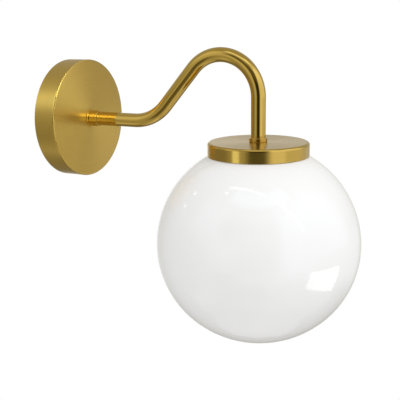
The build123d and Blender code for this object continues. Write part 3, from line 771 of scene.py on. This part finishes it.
# The window that the globe mirrors at its lower right
lamp_distance = 1.5
window_width, window_height = lamp_distance * 0.68, lamp_distance * 0.33
window_place = globe_middle + lamp_distance * Vector((0.159, -0.876, -0.455))
window_level = Vector((0.664, 0.137, -0.043))
lamp("window", window_place, window_width, window_height, 2.8, window_level, in_glass)

# Two strips in line along the ceiling, and three small spots, that it mirrors near its top
ceiling = 1.2
narrow = 0.06
strip_radiance, spot_radiance = 3.0, 6.0
strips = [
    ("strip_near_wall", Vector((-0.41, 0.28, ceiling)), Vector((-0.44, -0.55, ceiling))),
    ("strip_over_room", Vector((-0.45, -0.86, ceiling)), Vector((-0.62, -2.40, ceiling))),
]
for name, start, end in strips:
    run = end - start
    lamp(name, (start + end) / 2, run.length, narrow, strip_radiance, run, in_glass)
spots = [Vector((-0.58, 0.34, 1.2)), Vector((-0.10, 1.09, 0.78)), Vector((-0.20, 1.68, 0.67))]
for number, place in enumerate(spots):
    lamp(f"spot_{number + 1}", place, narrow, narrow, spot_radiance, right, in_glass)

# Dim lamps, one inside the other so that no edge shows. They fill the dark place round
# the camera, which brass mirrors strongly and glass hardly does.
fill_place = globe_middle + lamp_distance * Vector((-0.808, -0.573, 0.139))
fill_radiance = 0.13
for number, width in enumerate((2.1, 1.7, 1.3, 0.9, 0.5)):
    lamp(f"fill_{number + 1}", fill_place, width, 1.1 * width, fill_radiance, right, in_glass)

# Two lamps beside the camera, that the collar and the plate pass to and fro, and lamps on
# the left for the plate's rim and the cap's rim. Each has its direction, width, height,
# radiance and the pieces that it is for.
daylight = "#E4F4FF"
near_lamps = {
    "high_lamp": (Vector((-0.613, -0.572, 0.545)), 0.8, 0.8, 5.5, at_plate),
    "low_lamp": (Vector((-0.762, -0.614, -0.208)), 0.7, 1.2, 1.8, at_plate),
    "plate_lamp": (Vector((-0.611, 0.634, 0.473)), 0.7, 0.6, 0.85, at_plate),
    "cap_lamp": (Vector((-0.930, 0.323, -0.175)), 0.45, 0.6, 1.0, in_cap),
}
for name, (towards, width, height, radiance, only_in) in near_lamps.items():
    lamp(name, lamp_distance * towards, width, height, radiance, right, only_in, daylight)

# The soft key from the upper right, which gives the globe its shade
key_distance = 2.2
key_size = 1.3
key_place = globe_middle + key_distance * (0.5 * right + 0.66 * up + 0.56 * back)
lamp("soft_key", key_place, key_size, key_size, 2.05, right)

floor_height = -1.6
floor_radius = 0.75
floor_shape = bmesh.new()
bmesh.ops.create_circle(floor_shape, cap_ends=True, segments=64, radius=floor_radius)
bmesh.ops.translate(floor_shape, verts=floor_shape.verts, vec=(0, globe_middle.y, floor_height))
floor_mesh = bpy.data.meshes.new("floor")
floor_shape.to_mesh(floor_mesh)
floor_shape.free()
floor = bpy.data.objects.new("floor", floor_mesh)
bpy.context.scene.collection.objects.link(floor)

# Pale matt floor: what the camera sees of it is white, less the object's shadow. Its glow
# is weaker in gloss, and fades to nothing at its edge.
seen_glow = 0.6
mirrored_glow = 0.4
floor_paint, tree, place = start_material("pale_floor")
path = add(tree, "ShaderNodeLightPath")
mirrored = add(
    tree,
    "ShaderNodeMath",
    {0: path.outputs["Is Glossy Ray"], 1: path.outputs["Is Transmission Ray"]},
    operation="MAXIMUM",
)
from_middle = add(
    tree,
    "ShaderNodeVectorMath",
    {0: place, 1: (0, globe_middle.y, floor_height)},
    operation="DISTANCE",
)
fading = add(
    tree,
    "ShaderNodeMapRange",
    {
        "Value": from_middle.outputs["Value"],
        "From Max": floor_radius,
        "To Min": mirrored_glow,
        "To Max": 0.0,
    },
)
mirrored = add(
    tree,
    "ShaderNodeMath",
    {0: mirrored.outputs["Value"], 1: fading.outputs["Result"]},
    operation="MULTIPLY",
)
glow = add(
    tree,
    "ShaderNodeMath",
    {0: path.outputs["Is Camera Ray"], 1: seen_glow, 2: mirrored.outputs["Value"]},
    operation="MULTIPLY_ADD",
)
end_material(
    tree,
    {
        "Base Color": linear("#CFCDC9"),
        "Roughness": 0.8,
        "Specular IOR Level": 0.0,
        "Emission Color": linear("#FFFFFF"),
        "Emission Strength": glow.outputs["Value"],
    },
)
floor_mesh.materials.append(floor_paint)

# The studio round the object. The camera sees white everywhere. Metal and glass see that
# white where it stands behind the object, and a dimmer room beyond it: dark round the
# camera, bright on its right and high on its left, and warmer where it is darker.
world = bpy.data.worlds.new("studio")
bpy.context.scene.world = world
world.use_nodes = True
world.cycles.sampling_method = "NONE"
tree = world.node_tree
tree.nodes.clear()
direction = add(tree, "ShaderNodeTexCoord").outputs["Generated"]
level_back = Vector((back.x, back.y, 0)).normalized()
along = add(tree, "ShaderNodeVectorMath", {0: direction, 1: right}, operation="DOT_PRODUCT")
behind = add(tree, "ShaderNodeVectorMath", {0: direction, 1: level_back}, operation="DOT_PRODUCT")
above = add(tree, "ShaderNodeSeparateXYZ", {"Vector": direction})
bearing = add(
    tree,
    "ShaderNodeMath",
    {0: along.outputs["Value"], 1: behind.outputs["Value"]},
    operation="ARCTAN2",
)
bearing = add(tree, "ShaderNodeMath", {0: bearing.outputs["Value"]}, operation="DEGREES")
rise = add(tree, "ShaderNodeMath", {0: above.outputs["Z"]}, operation="ARCSINE")
rise = add(tree, "ShaderNodeMath", {0: rise.outputs["Value"]}, operation="DEGREES")

# The room's own level, and its walls, lamps and dark places. Each of these has its middle
# and half width as a bearing to the camera's right, its middle and half height as an
# elevation, the width of its soft edge, all in degrees, and its level. A later one covers
# an earlier one.
room_level = 0.52
room_parts = {
    "floor_behind": (180, 75, -65, 35, 9, 0.25),
    "left_wall_foot": (-49, 27, 5, 11, 8, 0.78),
    "left_dark_corner": (-74, 12, -3, 9, 6, 0.38),
    "left_floor": (-84, 16, -42, 9, 6, 0.8),
    "left_window": (-66, 24, 31, 16, 7, 0.92),
    "left_skirting": (-112, 34, -15, 25, 8, 0.3),
    "right_wall": (63, 46, 8, 32, 13, 1.1),
    "right_window": (58, 34, 38, 14, 13, 1.35),
    "right_skirting": (100, 42, -17, 11, 6, 0.72),
    "ceiling_lamp": (0, 60, 62, 8, 5, 1.4),
    "dark_doorway": (-6, 23, 1, 20, 11, 0.04),
    "dark_lintel": (-15, 36, 28, 11, 8, 0.15),
    "dark_step": (-20, 26, -38, 11, 6, 0.2),
    "dark_sill": (-39, 14, -25, 8, 5, 0.15),
    "pale_step": (30, 28, -62, 12, 8, 0.7),
}


def room_tone(level):
    """The room's colour at a brightness: lamp light where it is dim, daylight where bright."""
    return (level, level * (0.92 + 0.1 * level), level * (0.6 + 0.45 * level), 1.0)


def near(angle, middle, half, soft):
    """How far a direction is inside a range of angles, from 0 to 1."""
    off = add(tree, "ShaderNodeMath", {0: angle, 1: middle}, operation="SUBTRACT")
    wrapped = add(
        tree, "ShaderNodeMath", {0: off.outputs["Value"], 1: 180, 2: -180}, operation="WRAP"
    )
    away = add(tree, "ShaderNodeMath", {0: wrapped.outputs["Value"]}, operation="ABSOLUTE")
    inside = add(
        tree,
        "ShaderNodeMapRange",
        {"Value": away.outputs["Value"], "From Min": half + soft, "From Max": half - soft},
        interpolation_type="SMOOTHSTEP",
    )
    return inside.outputs["Result"]


room = add(tree, "ShaderNodeRGB").outputs["Color"]
room.default_value = room_tone(room_level)
for bearing_middle, half_width, rise_middle, half_height, soft, level in room_parts.values():
    there = add(
        tree,
        "ShaderNodeMath",
        {
            0: near(bearing.outputs["Value"], bearing_middle, half_width, soft),
            1: near(rise.outputs["Value"], rise_middle, half_height, soft),
        },
        operation="MULTIPLY",
    )
    room = add(
        tree,
        "ShaderNodeMixRGB",
        {"Fac": there.outputs["Value"], "Color1": room, "Color2": room_tone(level)},
    ).outputs["Color"]
path = add(tree, "ShaderNodeLightPath")
# Matt surfaces get one even level
even_tone = (0.855, 0.855, 0.86, 1)
room = add(
    tree,
    "ShaderNodeMixRGB",
    {"Fac": path.outputs["Is Diffuse Ray"], "Color1": room, "Color2": even_tone},
).outputs["Color"]
# The white backdrop, as far from the line of sight as metal and glass mirror it
backdrop_inner, backdrop_outer = radians(16), radians(24)
ahead = add(tree, "ShaderNodeVectorMath", {0: direction, 1: -back}, operation="DOT_PRODUCT")
backdrop = add(
    tree,
    "ShaderNodeMapRange",
    {
        "Value": ahead.outputs["Value"],
        "From Min": cos(backdrop_outer),
        "From Max": cos(backdrop_inner),
    },
    interpolation_type="SMOOTHSTEP",
)
mirrored = add(
    tree,
    "ShaderNodeMath",
    {0: path.outputs["Is Glossy Ray"], 1: backdrop.outputs["Result"]},
    operation="MULTIPLY",
)
white = add(
    tree,
    "ShaderNodeMath",
    {0: path.outputs["Is Camera Ray"], 1: path.outputs["Is Transmission Ray"]},
    operation="MAXIMUM",
)
white = add(
    tree,
    "ShaderNodeMath",
    {0: white.outputs["Value"], 1: mirrored.outputs["Value"]},
    operation="MAXIMUM",
)
seen = add(
    tree,
    "ShaderNodeMixRGB",
    {"Fac": white.outputs["Value"], "Color1": room, "Color2": (1, 1, 1, 1)},
)
background = add(tree, "ShaderNodeBackground", {"Color": seen.outputs["Color"], "Strength": 1.0})
add(tree, "ShaderNodeOutputWorld", {"Surface": background.outputs["Background"]})
